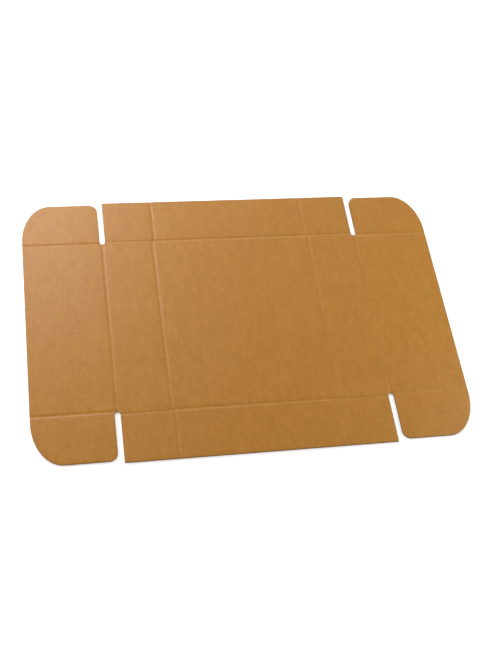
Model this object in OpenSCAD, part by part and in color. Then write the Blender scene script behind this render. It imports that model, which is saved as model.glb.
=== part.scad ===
// Mailer box, lying flat: one die-cut sheet of corrugated board, creased so that it folds up
// into a box whose two lids meet over the middle. X runs from lid to lid, Y from end flap to
// end flap, and the underside lies at z = 0. Each panel that folds is a piece of its own,
// parted from its neighbour along the crease. Every fold turns about the board's top face.

/* [Board] */
// Thickness of the corrugated board
board_t = 3; // [2:0.1:4]
// Room between a folded flap and the panel that it folds inside of
fold_gap = 0.4; // [0.2:0.1:0.6]

/* [Base and walls] */
// Width of the base between the two side wall creases
base_w = 250; // [180:1:360]
// Depth of the base between the two end flap creases
base_d = 294.6; // [240:0.2:400]
// Height of each side wall
wall_h = 77.8; // [74:0.2:90]
// How much shorter than the base each end of a side wall is
wall_trim = 0.1; // [0:0.1:0.5]

/* [Lids and flaps] */
// Width of each lid; two lids cover the base together
lid_w = 121; // [110:0.5:124]
// Height of the end flaps and of the dust flaps
flap_h = 74.2; // [70:0.2:76]
// Width of a dust flap's large outer corner, across the flap
outer_corner_x = 44; // [20:1:60]
// Length of a dust flap's large outer corner, along the flap
outer_corner_y = 67; // [30:1:68]
// Radius of a dust flap's small corner beside the slot
inner_corner_r = 13; // [4:1:20]

/* [Slots and slits] */
// Width of the slots between corner tabs and dust flaps
slot_w = 8.4; // [6:0.1:10]
// How far a slot's round end reaches past the dust flap crease
slot_reach = 0.5; // [0.2:0.1:1]
// Width of the slits that part the corner tabs from the walls
slit_w = 0.6; // [0.4:0.1:1.2]

/* [Creases] */
// Width of the pressed valley along a crease
crease_w = 3.2; // [2:0.1:4]
// Depth of the pressed valley along a crease
crease_depth = 0.7; // [0.3:0.1:1]
// How far inside its fold line the valley of an end flap crease lies
end_crease_inset = 1.1; // [0:0.1:1.5]

/* [Hidden] */

kraft = [0.71, 0.50, 0.28];
overrun = 1;
corner_steps = 24;

// Fold lines, measured from the middle of the sheet
base_x = base_w / 2;
wall_x = base_x + wall_h;
tab_x = base_x - board_t - fold_gap;
end_y = base_d / 2;
dust_y = end_y - board_t - fold_gap;

// Outer edges of the lids, the end flaps and the dust flaps
lid_x = wall_x + lid_w;
end_flap_y = end_y + flap_h;
dust_flap_y = dust_y + flap_h;

// The slot clears a folded tab on the lid's side of its crease
slot_out_x = wall_x + board_t + 2 * fold_gap;
slot_in_x = slot_out_x - slot_w;
slot_mid_x = slot_out_x - slot_w / 2;
slot_end_y = dust_y - slot_reach + slot_w / 2;
wall_end_y = end_y - wall_trim;
tab_root_y = end_y + slit_w;

// A valley is a shallow part of a cylinder pressed into the top face
valley_r = (pow(crease_w / 2, 2) + pow(crease_depth, 2)) / (2 * crease_depth);
valley_z = board_t - crease_depth + valley_r;
end_valley_y = end_y - end_crease_inset;
lid_mid_x = wall_x + lid_w / 2;
end_flap_mid_y = end_y + flap_h / 2;

// Points of a quarter of an ellipse about a centre, from one angle to another
function arc(centre, rx, ry, from, to) = [
    for (i = [0 : corner_steps])
        let (a = from + (to - from) * i / corner_steps)
            centre + [rx * cos(a), ry * sin(a)]
];

// The same shape in each quarter of the sheet
module in_each_quarter() {
    for (sx = [-1, 1])
        for (sy = [-1, 1])
            scale([sx, sy]) children();
}

// One dust flap of the back right quarter, seen from above
module dust_flap_outline() {
    inner_centre = [slot_out_x + inner_corner_r, dust_flap_y - inner_corner_r];
    outer_centre = [lid_x - outer_corner_x, dust_flap_y - outer_corner_y];
    polygon(concat(
        [[wall_x, dust_y - overrun], [wall_x, slot_end_y], [slot_out_x, slot_end_y]],
        arc(inner_centre, inner_corner_r, inner_corner_r, 180, 90),
        arc(outer_centre, outer_corner_x, outer_corner_y, 90, 0),
        [[lid_x, dust_y - overrun]]
    ));
}

// A slot with a round end, of the back right quarter
module slot_outline() {
    translate([slot_mid_x, slot_end_y]) circle(d = slot_w, $fn = 48);
    translate([slot_in_x, slot_end_y]) square([slot_w, end_flap_y - slot_end_y + overrun]);
}

// The cut that frees a corner tab from the base and the wall, of the back right quarter
module slit_outline() {
    translate([tab_x, end_y]) square([slot_mid_x - tab_x, slit_w]);
}

// The whole sheet as the die cuts it, seen from above
module sheet_outline() {
    difference() {
        union() {
            square([2 * lid_x, 2 * dust_y], center = true);
            square([2 * wall_x, 2 * end_flap_y], center = true);
            in_each_quarter() dust_flap_outline();
        }
        in_each_quarter() slot_outline();
        in_each_quarter() slit_outline();
    }
}

// A valley along Y at x, over a length centred on y
module valley_along_y(x, y, length) {
    translate([x, y + length / 2, valley_z])
        rotate([90, 0, 0]) cylinder(r = valley_r, h = length, $fn = 96);
}

// A valley along X at y, over a length centred on x
module valley_along_x(x, y, length) {
    translate([x - length / 2, y, valley_z])
        rotate([0, 90, 0]) cylinder(r = valley_r, h = length, $fn = 96);
}

// The part of the sheet between two values of x and two of y, less its creases, the children
module panel(xa, xb, ya, yb) {
    color(kraft)
        difference() {
            linear_extrude(board_t)
                intersection() {
                    sheet_outline();
                    translate([min(xa, xb), min(ya, yb)]) square([abs(xb - xa), abs(yb - ya)]);
                }
            children();
        }
}

module base_panel() {
    panel(-base_x, base_x, -end_y, end_y) {
        for (sx = [-1, 1])
            valley_along_y(sx * base_x, 0, base_d + overrun);
        for (sy = [-1, 1])
            valley_along_x(0, sy * end_valley_y, base_w + overrun);
    }
}

// A side wall, to the left with side = -1 and to the right with side = 1
module wall(side) {
    panel(side * base_x, side * wall_x, -wall_end_y, wall_end_y)
        for (x = [base_x, wall_x])
            valley_along_y(side * x, 0, base_d + overrun);
}

// A lid, to the left or to the right
module lid(side) {
    panel(side * wall_x, side * lid_x, -dust_y, dust_y) {
        valley_along_y(side * wall_x, 0, base_d + overrun);
        for (sy = [-1, 1])
            valley_along_x(side * lid_mid_x, sy * dust_y, lid_w + overrun);
    }
}

// An end flap, to the front with end = -1 and to the back with end = 1
module end_flap(end) {
    panel(-tab_x, tab_x, end * end_y, end * end_flap_y) {
        valley_along_x(0, end * end_valley_y, base_w + overrun);
        for (sx = [-1, 1])
            valley_along_y(sx * tab_x, end * end_flap_mid_y, flap_h + overrun);
    }
}

// A corner tab, hung on the side of an end flap
module tab(side, end) {
    panel(side * tab_x, side * slot_in_x, end * tab_root_y, end * end_flap_y)
        valley_along_y(side * tab_x, end * end_flap_mid_y, flap_h + overrun);
}

// A dust flap, hung on the end of a lid
module dust_flap(side, end) {
    panel(side * wall_x, side * lid_x, end * dust_y, end * dust_flap_y)
        valley_along_x(side * lid_mid_x, end * dust_y, lid_w + overrun);
}

module left_wall() wall(-1);
module right_wall() wall(1);
module left_lid() lid(-1);
module right_lid() lid(1);
module front_end_flap() end_flap(-1);
module back_end_flap() end_flap(1);
module front_left_tab() tab(-1, -1);
module front_right_tab() tab(1, -1);
module back_left_tab() tab(-1, 1);
module back_right_tab() tab(1, 1);
module front_left_dust_flap() dust_flap(-1, -1);
module front_right_dust_flap() dust_flap(1, -1);
module back_left_dust_flap() dust_flap(-1, 1);
module back_right_dust_flap() dust_flap(1, 1);

base_panel();
left_wall();
right_wall();
left_lid();
right_lid();
front_end_flap();
back_end_flap();
front_left_tab();
front_right_tab();
back_left_tab();
back_right_tab();
front_left_dust_flap();
front_right_dust_flap();
back_left_dust_flap();
back_right_dust_flap();
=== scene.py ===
import math

import bpy
import numpy as np
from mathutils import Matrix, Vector


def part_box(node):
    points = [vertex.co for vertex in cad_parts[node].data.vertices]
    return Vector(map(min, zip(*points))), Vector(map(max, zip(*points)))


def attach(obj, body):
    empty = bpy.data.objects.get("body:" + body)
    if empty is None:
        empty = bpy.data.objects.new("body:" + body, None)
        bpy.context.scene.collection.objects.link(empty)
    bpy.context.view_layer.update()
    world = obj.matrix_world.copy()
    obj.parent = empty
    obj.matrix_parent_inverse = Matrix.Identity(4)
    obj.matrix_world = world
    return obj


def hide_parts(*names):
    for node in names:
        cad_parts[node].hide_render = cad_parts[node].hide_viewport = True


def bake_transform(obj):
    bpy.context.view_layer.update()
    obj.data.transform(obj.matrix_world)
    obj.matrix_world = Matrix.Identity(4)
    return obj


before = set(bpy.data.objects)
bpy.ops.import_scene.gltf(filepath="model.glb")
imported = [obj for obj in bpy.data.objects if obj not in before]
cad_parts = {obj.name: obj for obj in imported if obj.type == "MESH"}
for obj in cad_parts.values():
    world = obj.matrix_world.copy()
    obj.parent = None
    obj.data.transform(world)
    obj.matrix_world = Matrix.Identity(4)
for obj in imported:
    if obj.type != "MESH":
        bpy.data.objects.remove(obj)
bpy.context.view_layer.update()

# The flat blank of a mailer box. Its board is made here as it really is: two liners with a
# fluted sheet between them, pressed thin along creases and cut edges. Panels ride on their
# bodies, and a narrow strip of board lies across each crease, fixed in place.

MM = 0.001

SIDES = {"left": -1, "right": 1}
ENDS = {"front": -1, "back": 1}

# Fold lines and outer edges of the back right quarter, from the solid panels
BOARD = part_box("base_panel")[1].z
BASE_X, END_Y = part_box("base_panel")[1].xy
WALL_X, WALL_END_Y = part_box("right_wall")[1].xy
LID_X, DUST_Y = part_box("right_lid")[1].xy
TAB_X, END_FLAP_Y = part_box("back_end_flap")[1].xy
SLOT_IN_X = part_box("back_right_tab")[1].x
DUST_FLAP_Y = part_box("back_right_dust_flap")[1].y

# Slots and round corners
SLOT_W = 8.4 * MM
SLOT_REACH = 0.5 * MM
SLOT_OUT_X = SLOT_IN_X + SLOT_W
SLOT_MID_X = SLOT_IN_X + SLOT_W / 2
SLOT_ROOT_Y = DUST_Y - SLOT_REACH
SLOT_END_Y = SLOT_ROOT_Y + SLOT_W / 2
OUTER_CORNER_X = 44 * MM
OUTER_CORNER_Y = 67 * MM
INNER_CORNER_R = 13 * MM
ARC_STEPS = 24

# Make-up of the board
FLUTE_PITCH = 6.4 * MM
ROWS_PER_FLUTE = 12
LINER = 0.3 * MM
FLUTE_PAPER = 0.25 * MM
WASHBOARD = 0.03 * MM

# Creases and cut edges
CREASE_DEPTH = 0.56 * MM
CREASE_REACH = 4.2 * MM
CREASE_FADE = 1.5 * MM
STRIP_REACH = 2 * MM
END_CREASE_INSET = 1.1 * MM
END_VALLEY_Y = END_Y - END_CREASE_INSET
EDGE_PRESS = 0.3 * MM
EDGE_LIFT = 0.12 * MM
EDGE_REACH = 1.4 * MM
# The next two set the darkening near the cuts: how far it reaches, and how strong it is at the
# slit. It is partly rubbed, crushed paper and partly painted shade along the edges and in the
# slit's gap.
RIM_WEAR_SHADE_REACH = 0.8 * MM
SLIT_WEAR_AND_SHADE = 0.3
SLIT_PRESS = 0.5 * MM
SLIT_REACH = 2.6 * MM
# The slit that parts a corner tab from the wall and the base
SLIT = np.array([(TAB_X, END_Y), (SLOT_MID_X, END_Y)])

# Where a panel's points lie: distances from its edges, and numbers of even columns between
EDGE_STEPS = np.array([0, 0.4, 0.9, 1.6, 2.6, 4.0]) * MM
CREASE_STEPS = np.linspace(0, CREASE_REACH - STRIP_REACH, 6)
EAR_STEPS = np.linspace(0, BASE_X - STRIP_REACH - TAB_X, 5)
CORNER_STEPS = np.linspace(0, CREASE_REACH, 6)
MIDDLE_COLUMNS = 4
LID_COLUMNS = 6
STRIP_COLUMNS = 13
QUARTER = np.sin(np.radians(np.linspace(0, 90, ARC_STEPS + 1)))
SLOT_ROWS = SLOT_END_Y - SLOT_W / 2 * QUARTER

# Points closer than this are merged, rows are rounded to this many digits, and edges that
# turn by more than this angle in degrees look sharp
WELD = 0.001 * MM
ROW_DIGITS = 7
SHARP_ANGLE = 40

# Paper colours
KRAFT_LIGHT = (0.386, 0.157, 0.0124, 1)
KRAFT_DEEP = (0.326, 0.125, 0.0042, 1)
KRAFT_PALE = (0.440, 0.191, 0.0235, 1)
KRAFT_RAW = (0.235, 0.105, 0.034, 1)
# Brown for the darkening along cut edges and the slit: partly rubbed paper, partly painted shade
KRAFT_RUBBED_SHADE = (0.205, 0.082, 0.010, 1)
FLUTE_BROWN = (0.30, 0.15, 0.055, 1)

# Sizes of the paper's patterns along X and Y
CLOUD_SIZE = (14 * MM, 24 * MM)
STREAK_SIZE = (3 * MM, 40 * MM)
MOTTLE_SIZE = (6 * MM, 6 * MM)
FIBRE_SIZE = (0.35 * MM, 2.2 * MM)
SPECK_SIZE = (0.8 * MM, 1.6 * MM)
FLUTE_FIBRE_SIZE = (0.4 * MM, 1.2 * MM)

# Surface of the paper
FIBRE_RANGE = (0.3, 0.7)
FLUTE_TINT = (0.4, 0.7, 0, 0.6)
# Largest share of the edges' darkening, which is partly rubbed paper and partly painted shade
RIM_WEAR_SHADE_SHARE = 0.5
LINER_ROUGHNESS = (0.46, 0.54)
RAW_ROUGHNESS = 0.5
FLUTE_ROUGHNESS = (0.8, 0.92)
FIBRE_SHARE = 0.6
RELIEF = 0.06 * MM
RELIEF_STRENGTH = 0.3
PAPER_IOR = 1.5

# Floor and room
FLOOR_HALF = 60.0
FLOOR_DROP = 0.1 * MM
FLOOR_WHITE = 0.93
FLOOR_ROUGHNESS = 0.9
FLOOR_SPECULAR = 0.1
GLOW_DISTANCES = (0.5, 1.3)
GLOW_NEAR = 0.3
GLOW_FAR = 0.92
HORIZON_HEIGHTS = (0.07, 0.35)
ROOM_GREY = 0.1

# Lights: place and side in metres, power in watts and colour. The right fill is slightly
# green, which keeps the right lid from looking redder than the rest.
WHITE_LIGHT = (1, 1, 1)
GREENISH_LIGHT = (0.96, 1.04, 0.94)
LIGHTS = {
    "key": ((-1.44, 0.01, 0.58), 0.67, 12.2, WHITE_LIGHT),
    "back": ((0.89, 2.51, 1.35), 1.47, 20.8, WHITE_LIGHT),
    "front": ((-0.58, -1.49, 0.75), 1.8, 10.7, WHITE_LIGHT),
    "fill_right": ((0.87, -0.08, 0.5), 0.4, 4.75, GREENISH_LIGHT),
    "fill_back": ((-0.41, 0.87, 0.84), 0.46, 10.1, WHITE_LIGHT),
}

# The photograph's view, turned by degrees about X, Y and Z
CAMERA_PLACE = (-0.2927, -0.7660, 1.3125)
CAMERA_TURN = (30.293, -8.185, -8.315)
CAMERA_LENS = 55.03
CAMERA_SENSOR = 36


class Wire:
    """A socket in a sum: each operator adds the Math node for it."""

    def __init__(self, tree, socket):
        self.tree = tree
        self.socket = socket

    def math(self, operation, *terms):
        return self.tree.add("ShaderNodeMath", {"operation": operation}, *terms)

    def __add__(self, other):
        return self.math("ADD", self, other)

    def __sub__(self, other):
        return self.math("SUBTRACT", self, other)

    def __rsub__(self, other):
        return self.math("SUBTRACT", other, self)

    def __mul__(self, other):
        return self.math("MULTIPLY", self, other)

    def __truediv__(self, other):
        return self.math("DIVIDE", self, other)

    def sine(self):
        return self.math("SINE", self)


class Tree:
    """A node tree that is filled by one method."""

    def __init__(self, node_tree):
        self.nodes = node_tree.nodes
        self.links = node_tree.links

    def add(self, kind, settings=None, *ordered, output=0, **named):
        """Adds a node, sets what it is, then sets or links its inputs, and gives one output."""
        node = self.nodes.new(kind)
        for name, value in (settings or {}).items():
            setattr(node, name, value)
        inputs = dict(enumerate(ordered))
        inputs.update({name.replace("_", " "): value for name, value in named.items()})
        for key, value in inputs.items():
            self.feed(node.inputs[key], value)
        return Wire(self, node.outputs[output])

    def feed(self, socket, value):
        if isinstance(value, Wire):
            self.links.new(value.socket, socket)
        else:
            socket.default_value = value

    def join(self, *parts):
        """Joins several meshes into one."""
        node = self.nodes.new("GeometryNodeJoinGeometry")
        for part in parts:
            self.feed(node.inputs[0], part)
        return Wire(self, node.outputs[0])

    def mix(self, factor, first, second):
        """Mixes two colours, as nodes or as plain values, by the node's colour sockets."""
        node = self.nodes.new("ShaderNodeMix")
        node.data_type = "RGBA"
        self.feed(node.inputs[0], factor)
        self.feed(node.inputs[6], first)
        self.feed(node.inputs[7], second)
        return Wire(self, node.outputs[2])


def arc(centre, radius_x, radius_y, start, end):
    """Points round part of an ellipse, between two angles in degrees."""
    angles = np.radians(np.linspace(start, end, ARC_STEPS + 1))
    return np.stack(
        [centre[0] + radius_x * np.cos(angles), centre[1] + radius_y * np.sin(angles)], axis=1
    )


def outline():
    """The die's outer cut in the back right quarter, with its slot."""
    return np.concatenate(
        [
            [(0, END_FLAP_Y), (SLOT_IN_X, END_FLAP_Y)],
            arc((SLOT_MID_X, SLOT_END_Y), SLOT_W / 2, SLOT_W / 2, 180, 360),
            arc(
                (SLOT_OUT_X + INNER_CORNER_R, DUST_FLAP_Y - INNER_CORNER_R),
                INNER_CORNER_R, INNER_CORNER_R, 180, 90,
            ),
            arc(
                (LID_X - OUTER_CORNER_X, DUST_FLAP_Y - OUTER_CORNER_Y),
                OUTER_CORNER_X, OUTER_CORNER_Y, 90, 0,
            ),
            [(LID_X, 0)],
        ]
    )


def distance_to(line, x, y):
    """Distance of points from a cut; the four quarters are alike."""
    points = np.stack([np.abs(x), np.abs(y)], axis=-1)
    nearest = np.full(x.shape, np.inf)
    for start, end in zip(line[:-1], line[1:]):
        along = end - start
        t = np.clip((points - start) @ along / (along @ along), 0, 1)
        gap = np.linalg.norm(points - start - t[..., None] * along, axis=-1)
        nearest = np.minimum(nearest, gap)
    return nearest


def near_cut(x, y, edge, edge_reach, slit, slit_reach):
    """A value that is full at the cuts and fades away from them."""
    at_edge = edge * np.exp(-distance_to(outline(), x, y) / edge_reach)
    at_slit = slit * np.exp(-distance_to(SLIT, x, y) / slit_reach)
    return np.maximum(at_edge, at_slit)


def valley(distance):
    """Depth of a crease's rounded valley at a distance from its line."""
    t = np.clip(np.abs(distance) / CREASE_REACH, 0, 1)
    return CREASE_DEPTH * (1 + np.cos(np.pi * t)) / 2


def past(value, line):
    """Share of the way past a line, from 0 to 1, where one crease fades and another begins."""
    t = np.clip((value - line) / CREASE_FADE / 2 + 0.5, 0, 1)
    return t * t * (3 - 2 * t)


def pressed(x, y):
    """How far the board's top face is pressed in at each point."""
    x, y = np.abs(x), np.abs(y)
    wall = valley(x - BASE_X) * (1 - past(y, END_Y))
    lid = valley(x - WALL_X) * (1 - past(y, SLOT_END_Y))
    tab = valley(x - TAB_X) * past(y, END_Y)
    end = valley(y - END_VALLEY_Y) * (1 - past(x, BASE_X))
    dust = valley(y - DUST_Y) * past(x, WALL_X)
    crease = np.max([wall, lid, tab, end, dust], axis=0)
    return crease + near_cut(x, y, EDGE_PRESS, EDGE_REACH, SLIT_PRESS, SLIT_REACH)


def lifted(x, y):
    """How far the board's underside is lifted at each point."""
    return near_cut(x, y, EDGE_LIFT, EDGE_REACH, EDGE_LIFT, EDGE_REACH)


def rows(start, end, *extra):
    """Values of y from start to end, close enough for the flutes, with extra ones between."""
    count = math.ceil((end - start) / FLUTE_PITCH * ROWS_PER_FLUTE) + 1
    even = np.linspace(start, end, count)
    wanted = np.concatenate([even, *extra])
    inside = wanted[(wanted >= start) & (wanted <= end)]
    return np.unique(np.round(inside, ROW_DIGITS))


def grid(y, left, right, left_steps=(0,), right_steps=(0,), between=3):
    """Points in rows between two edges, closer together near an edge that has steps."""
    left = np.broadcast_to(left, y.shape)
    right = np.broadcast_to(right, y.shape)
    inner_left = left + left_steps[-1]
    inner_right = right - right_steps[-1]
    parts = np.linspace(0, 1, between + 2)[1:-1]
    columns = [left + step for step in left_steps]
    columns += [inner_left + (inner_right - inner_left) * part for part in parts]
    columns += [right - step for step in reversed(right_steps)]
    x = np.stack(columns, axis=1)
    return x, np.broadcast_to(y[:, None], x.shape)


def mirrored(points, side, end):
    """A quarter's points in another quarter, with their faces still up."""
    x, y = points
    if side * end < 0:
        x, y = x[:, ::-1], y[:, ::-1]
    return x * side, y * end


def slot_edge(y, side):
    """x of the slot's edge where it passes y: the wall's side is -1 and the lid's is 1."""
    rise = np.clip(SLOT_END_Y - y, 0, SLOT_W / 2)
    return SLOT_MID_X + side * np.sqrt((SLOT_W / 2) ** 2 - rise**2)


def slot_root(x):
    """y of the slot's round end where it passes x."""
    off = np.clip(np.abs(x) - SLOT_MID_X, -SLOT_W / 2, SLOT_W / 2)
    return SLOT_END_Y - np.sqrt((SLOT_W / 2) ** 2 - off**2)


def dust_inner_x(y):
    """x of the dust flap's edge beside the slot, with its small round corner."""
    straight = np.maximum(slot_edge(y, 1), WALL_X + STRIP_REACH)
    rise = np.clip(y - DUST_FLAP_Y + INNER_CORNER_R, 0, INNER_CORNER_R)
    return straight + INNER_CORNER_R - np.sqrt(INNER_CORNER_R**2 - rise**2)


def dust_outer_x(y):
    """x of the dust flap's outer edge, with its large round corner."""
    rise = np.clip(y - DUST_FLAP_Y + OUTER_CORNER_Y, 0, OUTER_CORNER_Y) / OUTER_CORNER_Y
    return LID_X - OUTER_CORNER_X * (1 - np.sqrt(1 - rise**2))


def flat_mesh(name, grids):
    """One flat mesh of all the grids, which keeps how far its points are pressed and lifted."""
    points, faces, first = [], [], 0
    for x, y in grids:
        count, width = x.shape
        index = first + np.arange(count * width).reshape(count, width)
        corners = [index[:-1, :-1], index[:-1, 1:], index[1:, 1:], index[1:, :-1]]
        faces.append(np.stack(corners, axis=-1).reshape(-1, 4))
        points.append(np.stack([x, y], axis=-1).reshape(-1, 2))
        first += count * width
    flat = np.concatenate(points)
    mesh = bpy.data.meshes.new(name)
    on_plan = np.column_stack([flat, np.zeros(len(flat))])
    mesh.from_pydata(on_plan.tolist(), [], np.concatenate(faces).tolist())
    kept = {
        "press": pressed(*flat.T),
        "lift": lifted(*flat.T),
        # Darkening near the cuts and the slit: partly wear, partly painted shade
        "wear_and_shade_rim": near_cut(*flat.T, 1, RIM_WEAR_SHADE_REACH, SLIT_WEAR_AND_SHADE, RIM_WEAR_SHADE_REACH),
    }
    for attribute, values in kept.items():
        layer = mesh.attributes.new(attribute, "FLOAT", "POINT")
        layer.data.foreach_set("value", values.astype(np.float32))
    return mesh


BOARD_INPUTS = {
    "Board thickness": BOARD,
    "Liner thickness": LINER,
    "Flute paper": FLUTE_PAPER,
    "Flute pitch": FLUTE_PITCH,
    "Washboard": WASHBOARD,
}


def corrugated_tree(liner_material, flute_material):
    """Geometry nodes that turn a flat plan into board: two liners and the fluted sheet between."""
    group = bpy.data.node_groups.new("Corrugated board", "GeometryNodeTree")
    face = group.interface
    face.new_socket("Geometry", in_out="INPUT", socket_type="NodeSocketGeometry")
    for name, value in BOARD_INPUTS.items():
        socket = face.new_socket(name, in_out="INPUT", socket_type="NodeSocketFloat")
        socket.default_value = value
    face.new_socket("Geometry", in_out="OUTPUT", socket_type="NodeSocketGeometry")

    tree = Tree(group)
    given = group.nodes.new("NodeGroupInput")
    plan = tree.add(
        "GeometryNodeMergeByDistance", None, Wire(tree, given.outputs["Geometry"]),
        Distance=WELD,
    )
    board, liner, paper, pitch, washboard = (
        Wire(tree, given.outputs[name]) for name in BOARD_INPUTS
    )
    position = tree.add("GeometryNodeInputPosition")
    along = tree.add("ShaderNodeSeparateXYZ", None, position, output="Y")
    press = tree.add("GeometryNodeInputNamedAttribute", {"data_type": "FLOAT"}, Name="press")
    lift = tree.add("GeometryNodeInputNamedAttribute", {"data_type": "FLOAT"}, Name="lift")
    turns = along / pitch * math.tau
    wave = turns.sine() * 0.5 + 0.5
    gap = board - press - lift - liner * 2 - paper

    upwards = tree.add("ShaderNodeCombineXYZ", None, Z=1.0)

    def layer(height, thickness, fluted):
        """A closed sheet of even thickness whose underside is at a height above the plan."""
        offset = tree.add("ShaderNodeCombineXYZ", None, Z=height)
        placed = tree.add("GeometryNodeSetPosition", None, plan, Offset=offset)
        extrude = tree.nodes.new("GeometryNodeExtrudeMesh")
        extrude.mode = "FACES"
        tree.feed(extrude.inputs["Mesh"], placed)
        tree.feed(extrude.inputs["Offset"], upwards)
        tree.feed(extrude.inputs["Offset Scale"], thickness)
        extrude.inputs["Individual"].default_value = False
        marked = tree.add(
            "GeometryNodeStoreNamedAttribute", {"data_type": "FLOAT", "domain": "FACE"},
            Wire(tree, extrude.outputs["Mesh"]),
            Name="cut", Value=Wire(tree, extrude.outputs["Side"]),
        )
        under = tree.add("GeometryNodeFlipFaces", None, placed)
        joined = tree.join(marked, under)
        closed = tree.add("GeometryNodeMergeByDistance", None, joined, Distance=WELD)
        return tree.add(
            "GeometryNodeStoreNamedAttribute", {"data_type": "BOOLEAN", "domain": "FACE"},
            closed, Name="fluted", Value=fluted,
        )

    lower = layer(lift + washboard * wave, liner, False)
    middle = layer(lift + liner + gap * wave, paper, True)
    upper = layer(board - press - liner - washboard * (1 - wave), liner, False)
    smooth = tree.add("GeometryNodeSetShadeSmooth", None, tree.join(lower, middle, upper))
    real = tree.add("GeometryNodeRealizeInstances", None, smooth)
    lined = tree.add("GeometryNodeSetMaterial", None, real, Material=liner_material)
    is_fluted = tree.add(
        "GeometryNodeInputNamedAttribute", {"data_type": "BOOLEAN"}, Name="fluted"
    )
    finished = tree.add(
        "GeometryNodeSetMaterial", None, lined, Selection=is_fluted, Material=flute_material
    )
    result = group.nodes.new("NodeGroupOutput")
    tree.feed(result.inputs[0], finished)
    return group


def made_of_board(name, grids, tree):
    """A piece of corrugated board over the grids, as a plain mesh."""
    piece = bpy.data.objects.new(name, flat_mesh(name, grids))
    bpy.context.collection.objects.link(piece)
    modifier = piece.modifiers.new("board", "NODES")
    modifier.node_group = tree
    evaluated = piece.evaluated_get(bpy.context.evaluated_depsgraph_get())
    mesh = bpy.data.meshes.new_from_object(evaluated)
    piece.modifiers.remove(modifier)
    plan = piece.data
    piece.data = mesh
    bpy.data.meshes.remove(plan)
    mesh.name = name
    mesh.set_sharp_from_angle(angle=math.radians(SHARP_ANGLE))
    return piece


def add_panel(name, grids, tree, body, node):
    """A flat panel that rides on its body and stands for its CAD node."""
    piece = made_of_board(name, grids, tree)
    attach(piece, body)
    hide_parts(node)


def add_crease(name, grids, tree):
    """A strip of board across a crease, between two panels, fixed in place."""
    piece = made_of_board(name, grids, tree)
    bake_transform(piece)


def add_base(tree):
    """The box's floor, with the small corners that reach past its end creases."""
    end_start = END_VALLEY_Y - STRIP_REACH
    steps = np.append(EAR_STEPS, EAR_STEPS[-1] + CORNER_STEPS[1:])
    main = grid(
        rows(-end_start, end_start), -BASE_X + STRIP_REACH, BASE_X - STRIP_REACH,
        steps, steps, between=MIDDLE_COLUMNS,
    )
    ear = grid(
        rows(end_start, WALL_END_Y), TAB_X, BASE_X - STRIP_REACH,
        right_steps=EAR_STEPS[:-1], between=0,
    )
    ears = [mirrored(ear, side, end) for side in SIDES.values() for end in ENDS.values()]
    add_panel("base_board", [main, *ears], tree, "base", "base_panel")


def add_side(tree, name):
    """A side wall and its lid, with their creases."""
    side = SIDES[name]
    inner, outer = BASE_X + STRIP_REACH, WALL_X - STRIP_REACH
    length = rows(-WALL_END_Y, WALL_END_Y, SLOT_ROWS, -SLOT_ROWS)
    wall_crease = grid(length, BASE_X - STRIP_REACH, inner, between=STRIP_COLUMNS)
    add_crease(
        f"{name}_wall_crease", [mirrored(wall_crease, side, 1)], tree,
    )
    beside_slot = np.where(
        np.abs(length) > SLOT_ROOT_Y, np.minimum(slot_edge(np.abs(length), -1), outer), outer
    )
    wall = grid(length, inner, beside_slot, CREASE_STEPS, EDGE_STEPS)
    add_panel(f"{name}_wall_board", [mirrored(wall, side, 1)], tree, f"{name}_wall", f"{name}_wall")

    x, y = grid(
        rows(-SLOT_ROOT_Y, SLOT_ROOT_Y), outer, WALL_X + STRIP_REACH, between=STRIP_COLUMNS
    )
    lid_crease = x, y * slot_root(x) / SLOT_ROOT_Y
    add_crease(
        f"{name}_lid_crease", [mirrored(lid_crease, side, 1)], tree,
    )
    lid_end = DUST_Y - STRIP_REACH
    lid = grid(
        rows(-lid_end, lid_end), WALL_X + STRIP_REACH, LID_X, CREASE_STEPS, EDGE_STEPS,
        between=LID_COLUMNS,
    )
    add_panel(f"{name}_lid_board", [mirrored(lid, side, 1)], tree, f"{name}_lid", f"{name}_lid")


def add_end(tree, name):
    """An end flap and the crease that joins it to the base."""
    end = ENDS[name]
    start, stop = END_VALLEY_Y - STRIP_REACH, END_Y + STRIP_REACH
    crease_rows = rows(start, stop, np.linspace(start, stop, STRIP_COLUMNS + 2))
    crease = grid(
        crease_rows, -TAB_X, TAB_X, CORNER_STEPS, CORNER_STEPS, between=MIDDLE_COLUMNS
    )
    add_crease(
        f"{name}_end_crease", [mirrored(crease, 1, end)], tree,
    )
    flap = grid(
        rows(stop, END_FLAP_Y, END_FLAP_Y - EDGE_STEPS),
        -TAB_X + STRIP_REACH, TAB_X - STRIP_REACH, CREASE_STEPS, CREASE_STEPS,
        between=MIDDLE_COLUMNS,
    )
    add_panel(
        f"{name}_end_board", [mirrored(flap, 1, end)], tree, f"{name}_end_flap", f"{name}_end_flap"
    )


def add_tab(tree, end_name, side_name):
    """A corner tab and the crease that joins it to its end flap."""
    name = f"{end_name}_{side_name}"
    side, end = SIDES[side_name], ENDS[end_name]
    start = END_Y + STRIP_REACH
    length = rows(start, END_FLAP_Y, END_FLAP_Y - EDGE_STEPS)
    crease = grid(length, TAB_X - STRIP_REACH, TAB_X + STRIP_REACH, between=STRIP_COLUMNS)
    add_crease(
        f"{name}_tab_crease", [mirrored(crease, side, end)], tree,
    )
    tab = grid(length, TAB_X + STRIP_REACH, SLOT_IN_X, CREASE_STEPS, EDGE_STEPS)
    root = grid(
        rows(END_Y, start, END_Y + EDGE_STEPS), TAB_X, SLOT_IN_X,
        np.concatenate([[0, STRIP_REACH / 2], STRIP_REACH + CREASE_STEPS]), EDGE_STEPS,
    )
    grids = [mirrored(part, side, end) for part in (tab, root)]
    add_panel(f"{name}_tab_board", grids, tree, f"{name}_tab", f"{name}_tab")


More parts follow.
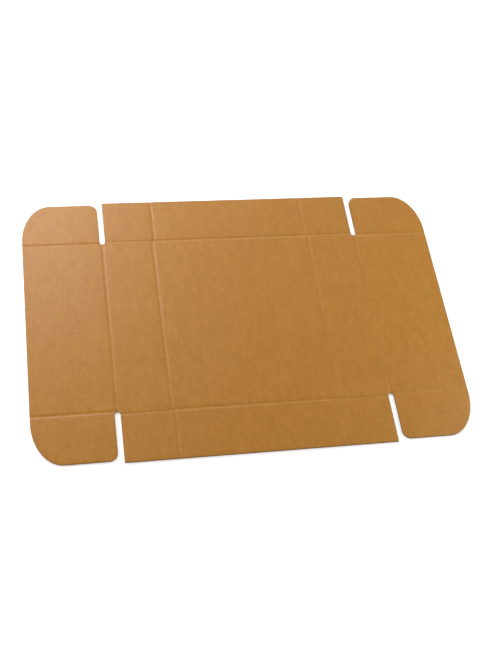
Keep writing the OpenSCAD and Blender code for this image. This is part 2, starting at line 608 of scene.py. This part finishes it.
def add_dust_flap(tree, end_name, side_name):
    """A dust flap and the crease that joins it to its lid."""
    name = f"{end_name}_{side_name}"
    side, end = SIDES[side_name], ENDS[end_name]
    start, stop = DUST_Y - STRIP_REACH, DUST_Y + STRIP_REACH
    crease_rows = rows(start, stop, SLOT_ROWS, np.linspace(start, stop, STRIP_COLUMNS + 2))
    crease = grid(
        crease_rows, dust_inner_x(crease_rows), dust_outer_x(crease_rows),
        EDGE_STEPS, EDGE_STEPS,
    )
    add_crease(
        f"{name}_dust_crease", [mirrored(crease, side, end)], tree,
    )
    flap_rows = rows(
        stop, DUST_FLAP_Y, SLOT_ROWS,
        DUST_FLAP_Y - INNER_CORNER_R * (1 - QUARTER),
        DUST_FLAP_Y - OUTER_CORNER_Y * (1 - QUARTER),
    )
    flap = grid(
        flap_rows, dust_inner_x(flap_rows), dust_outer_x(flap_rows), EDGE_STEPS, EDGE_STEPS
    )
    add_panel(
        f"{name}_dust_board", [mirrored(flap, side, end)], tree,
        f"{name}_dust_flap", f"{name}_dust_flap",
    )


def new_material(name):
    """An empty material with its tree, its shader and the object's coordinates in metres."""
    material = bpy.data.materials.new(name)
    material.use_nodes = True
    material.node_tree.nodes.clear()
    tree = Tree(material.node_tree)
    shader = material.node_tree.nodes.new("ShaderNodeBsdfPrincipled")
    output = material.node_tree.nodes.new("ShaderNodeOutputMaterial")
    material.node_tree.links.new(shader.outputs[0], output.inputs[0])
    place = tree.add("ShaderNodeTexCoord", None, output="Object")
    return material, tree, shader, place


def noise(tree, place, size, detail=3, roughness=0.6):
    """Noise from 0 to 1, whose spots have a size along X and one along Y."""
    scale = (1 / size[0], 1 / size[1], 1 / size[0])
    stretched = tree.add("ShaderNodeMapping", {"vector_type": "POINT"}, place, Scale=scale)
    return tree.add(
        "ShaderNodeTexNoise", None, stretched, Scale=1.0, Detail=detail, Roughness=roughness
    )


def levels(tree, value, low, high, to_low=0.0, to_high=1.0):
    """The value stretched from one range to another and held inside it."""
    return tree.add("ShaderNodeMapRange", {"clamp": True}, value, low, high, to_low, to_high)


def grey(value):
    """A grey as a colour."""
    return (value, value, value, 1)


def kraft_liner():
    """Brown liner: clouds, mottle, specks and flute lines, streaks and fibres across them."""
    material, tree, shader, place = new_material("kraft_liner")
    clouds = noise(tree, place, CLOUD_SIZE, detail=4)
    streaks = noise(tree, place, STREAK_SIZE)
    mottle = noise(tree, place, MOTTLE_SIZE, detail=4, roughness=0.66)
    fibres = noise(tree, place, FIBRE_SIZE, detail=4, roughness=0.7)
    specks = noise(tree, place, SPECK_SIZE, detail=1)
    along = tree.add("ShaderNodeSeparateXYZ", None, place, output="Y")
    glue_lines = (along * (math.tau / FLUTE_PITCH)).sine() * clouds

    # Each pattern's values where its tint starts and is full, the tint and its largest share
    tints = [
        (clouds, 0.35, 0.65, KRAFT_DEEP, 0.65),
        (streaks, 0.4, 0.65, KRAFT_DEEP, 0.35),
        (streaks, 0.5, 0.3, KRAFT_PALE, 0.35),
        (mottle, 0.5, 0.3, KRAFT_DEEP, 0.55),
        (mottle, 0.5, 0.7, KRAFT_PALE, 0.5),
        (fibres, 0.45, 0.75, KRAFT_PALE, 0.6),
        (fibres, 0.45, 0.25, KRAFT_DEEP, 0.5),
        (specks, 0.72, 0.8, KRAFT_RAW, 0.45),
        (glue_lines, 0.1, 0.6, KRAFT_DEEP, 0.2),
    ]
    colour = KRAFT_LIGHT
    for pattern, start, full, tint, most in tints:
        colour = tree.mix(levels(tree, pattern, start, full, 0, most), colour, tint)
    cut = tree.add("ShaderNodeAttribute", {"attribute_name": "cut"}, output="Fac")
    wear_and_shade_rim = tree.add("ShaderNodeAttribute", {"attribute_name": "wear_and_shade_rim"}, output="Fac")
    # Cut edges and the slit darkened: partly rubbed paper, partly painted shade in the gap and
    # along the edges
    colour = tree.mix(wear_and_shade_rim * RIM_WEAR_SHADE_SHARE, colour, KRAFT_RUBBED_SHADE)
    colour = tree.mix(cut, colour, KRAFT_RAW)
    tree.feed(shader.inputs["Base Color"], colour)

    roughness = levels(tree, fibres, *FIBRE_RANGE, *LINER_ROUGHNESS) + cut * RAW_ROUGHNESS
    tree.feed(shader.inputs["Roughness"], roughness)
    height = fibres * FIBRE_SHARE + mottle * (1 - FIBRE_SHARE)
    bump = tree.add(
        "ShaderNodeBump", None, Strength=RELIEF_STRENGTH, Distance=RELIEF, Height=height
    )
    tree.feed(shader.inputs["Normal"], bump)
    shader.inputs["IOR"].default_value = PAPER_IOR
    return material


def flute_paper():
    """Fluting: a duller, rougher brown paper than the liners."""
    material, tree, shader, place = new_material("flute_paper")
    fibres = noise(tree, place, FLUTE_FIBRE_SIZE)
    colour = tree.mix(levels(tree, fibres, *FLUTE_TINT), FLUTE_BROWN, KRAFT_RAW)
    tree.feed(shader.inputs["Base Color"], colour)
    roughness = levels(tree, fibres, *FIBRE_RANGE, *FLUTE_ROUGHNESS)
    tree.feed(shader.inputs["Roughness"], roughness)
    return material


def add_floor():
    """A plain white surface under the sheet, which glows more further out."""
    mesh = bpy.data.meshes.new("floor")
    corners = [(-1, -1), (1, -1), (1, 1), (-1, 1)]
    points = [(x * FLOOR_HALF, y * FLOOR_HALF, -FLOOR_DROP) for x, y in corners]
    mesh.from_pydata(points, [], [(0, 1, 2, 3)])
    floor = bpy.data.objects.new("floor", mesh)
    bpy.context.collection.objects.link(floor)
    material, tree, shader, place = new_material("floor_white")
    away = tree.add("ShaderNodeVectorMath", {"operation": "LENGTH"}, place, output="Value")
    glow = tree.mix(levels(tree, away, *GLOW_DISTANCES), grey(GLOW_NEAR), grey(GLOW_FAR))
    tree.feed(shader.inputs["Emission Color"], glow)
    shader.inputs["Emission Strength"].default_value = 1
    shader.inputs["Base Color"].default_value = grey(FLOOR_WHITE)
    shader.inputs["Roughness"].default_value = FLOOR_ROUGHNESS
    shader.inputs["Specular IOR Level"].default_value = FLOOR_SPECULAR
    mesh.materials.append(material)


def add_softbox(name, place, size, power, colour):
    """A square light that faces the middle of the sheet."""
    light = bpy.data.lights.new(name, "AREA")
    light.shape = "SQUARE"
    light.size = size
    light.energy = power
    light.color = colour
    softbox = bpy.data.objects.new(name, light)
    softbox.location = place
    softbox.rotation_euler = (-Vector(place)).to_track_quat("-Z", "Y").to_euler()
    bpy.context.collection.objects.link(softbox)


def add_room():
    """A dim room that is white near the horizon, so that the floor has no visible end."""
    world = bpy.data.worlds.new("room")
    world.use_nodes = True
    tree = Tree(world.node_tree)
    direction = tree.add("ShaderNodeTexCoord", None, output="Generated")
    height = tree.add("ShaderNodeSeparateXYZ", None, direction, output="Z")
    colour = tree.mix(levels(tree, height, *HORIZON_HEIGHTS), grey(1), grey(ROOM_GREY))
    tree.feed(tree.nodes["Background"].inputs["Color"], colour)
    bpy.context.scene.world = world


def add_camera():
    """The photograph's view: from the front left, well above, turned a little."""
    camera = bpy.data.cameras.new("camera")
    camera.sensor_width = CAMERA_SENSOR
    camera.lens = CAMERA_LENS
    view = bpy.data.objects.new("camera", camera)
    view.location = CAMERA_PLACE
    view.rotation_euler = [math.radians(angle) for angle in CAMERA_TURN]
    bpy.context.collection.objects.link(view)
    bpy.context.scene.camera = view


bpy.context.scene.view_settings.view_transform = "Standard"
add_camera()
for light_name, light_settings in LIGHTS.items():
    add_softbox(light_name, *light_settings)
add_room()
add_floor()

board = corrugated_tree(kraft_liner(), flute_paper())
add_base(board)
for side_name in SIDES:
    add_side(board, side_name)
for end_name in ENDS:
    add_end(board, end_name)
    for side_name in SIDES:
        add_tab(board, end_name, side_name)
        add_dust_flap(board, end_name, side_name)
